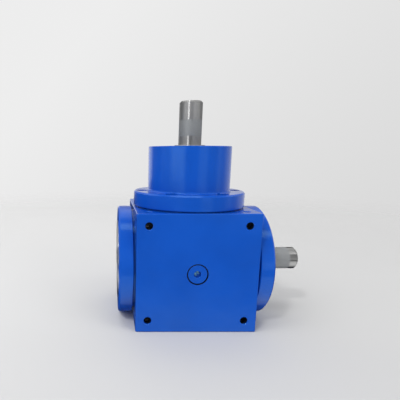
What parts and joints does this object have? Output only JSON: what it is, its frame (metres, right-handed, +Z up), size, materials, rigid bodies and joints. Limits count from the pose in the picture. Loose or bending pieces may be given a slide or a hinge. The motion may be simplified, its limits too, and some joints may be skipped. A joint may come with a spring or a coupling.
{
  "type": "right angle bevel gearbox",
  "caption": "Cubic right angle gearbox: spiral bevel pair in a painted housing, input shaft up from a flanged neck, output shaft sideways through a round cover.",
  "frame": {"origin": "centre of the housing's bottom face, the middle of its bolt pattern", "axes": "+Z up along the input shaft, +X along the output shaft"},
  "size_m": [0.1828, 0.11, 0.2105],
  "materials": {
    "blue_enamel": "glossy brushed enamel over cast iron",
    "machined_steel": "turned and ground steel",
    "gear_steel": "case hardened and oiled",
    "bearing_steel": "ground bearing steel",
    "cage_steel": "pressed sheet",
    "rubber": "moulded nitrile",
    "copper": "soft copper"
  },
  "bodies": {
    "gear_case": {"closed_bearing_cup": "bearing_steel", "closed_cover": "blue_enamel", "closed_cover_o_ring": "rubber", "closed_cover_screws": "blue_enamel", "closed_cover_shim": "machined_steel", "drain_plug": "blue_enamel", "drain_plug_ring": "copper", "end_cap": "rubber", "filler_plug": "blue_enamel", "filler_plug_ring": "copper", "housing": "blue_enamel", "input_bearing_lower_cup": "bearing_steel", "input_bearing_upper_cup": "bearing_steel", "input_flange": "blue_enamel", "input_flange_o_ring": "rubber", "input_flange_screws": "blue_enamel", "input_flange_shim": "machined_steel", "input_seal": "rubber", "input_seal_spring": "machined_steel", "level_plug": "blue_enamel", "level_plug_ring": "copper", "output_bearing_cup": "bearing_steel", "output_cover": "blue_enamel", "output_cover_o_ring": "rubber", "output_cover_screws": "blue_enamel", "output_cover_shim": "machined_steel", "output_seal": "rubber", "output_seal_spring": "machined_steel"},
    "output_shaft_assembly": {"output_shaft": "machined_steel", "output_gear": "gear_steel", "output_gear_key": "machined_steel", "output_gear_spacer": "machined_steel", "output_bearing_cone": "bearing_steel", "closed_bearing_cone": "bearing_steel"},
    "input_shaft_assembly": {"input_shaft": "machined_steel", "input_spacer": "machined_steel", "lock_washer": "machined_steel", "locknut": "machined_steel", "input_bearing_lower_cone": "bearing_steel", "input_bearing_upper_cone": "bearing_steel"},
    "output_bearing_rolling_set": {"output_bearing_rollers": "bearing_steel", "output_bearing_cage": "cage_steel"},
    "closed_bearing_rolling_set": {"closed_bearing_rollers": "bearing_steel", "closed_bearing_cage": "cage_steel"},
    "input_bearing_lower_rolling_set": {"input_bearing_lower_rollers": "bearing_steel", "input_bearing_lower_cage": "cage_steel"},
    "input_bearing_upper_rolling_set": {"input_bearing_upper_rollers": "bearing_steel", "input_bearing_upper_cage": "cage_steel"}
  },
  "joints": [
    {"name": "output_shaft_turn", "type": "hinge", "parent": "gear_case", "child": "output_shaft_assembly", "pos_m": [0, 0, 0.055], "axis": [1, 0, 0], "continuous": true},
    {"name": "input_shaft_turn", "type": "hinge", "parent": "gear_case", "child": "input_shaft_assembly", "pos_m": [0, 0, 0.055], "axis": [0, 0, 1], "continuous": true},
    {"name": "output_bearing_roll", "type": "hinge", "parent": "gear_case", "child": "output_bearing_rolling_set", "pos_m": [0, 0, 0.055], "axis": [1, 0, 0], "continuous": true},
    {"name": "closed_bearing_roll", "type": "hinge", "parent": "gear_case", "child": "closed_bearing_rolling_set", "pos_m": [0, 0, 0.055], "axis": [1, 0, 0], "continuous": true},
    {"name": "input_bearing_lower_roll", "type": "hinge", "parent": "gear_case", "child": "input_bearing_lower_rolling_set", "pos_m": [0, 0, 0.055], "axis": [0, 0, 1], "continuous": true},
    {"name": "input_bearing_upper_roll", "type": "hinge", "parent": "gear_case", "child": "input_bearing_upper_rolling_set", "pos_m": [0, 0, 0.055], "axis": [0, 0, 1], "continuous": true}
  ],
  "couplings": [
    {"joint": "input_shaft_turn", "follows": "output_shaft_turn", "ratio": 1},
    {"joint": "output_bearing_roll", "follows": "output_shaft_turn", "ratio": 0.4333},
    {"joint": "closed_bearing_roll", "follows": "output_shaft_turn", "ratio": 0.4333},
    {"joint": "input_bearing_lower_roll", "follows": "output_shaft_turn", "ratio": 0.4333},
    {"joint": "input_bearing_upper_roll", "follows": "output_shaft_turn", "ratio": 0.4333}
  ]
}
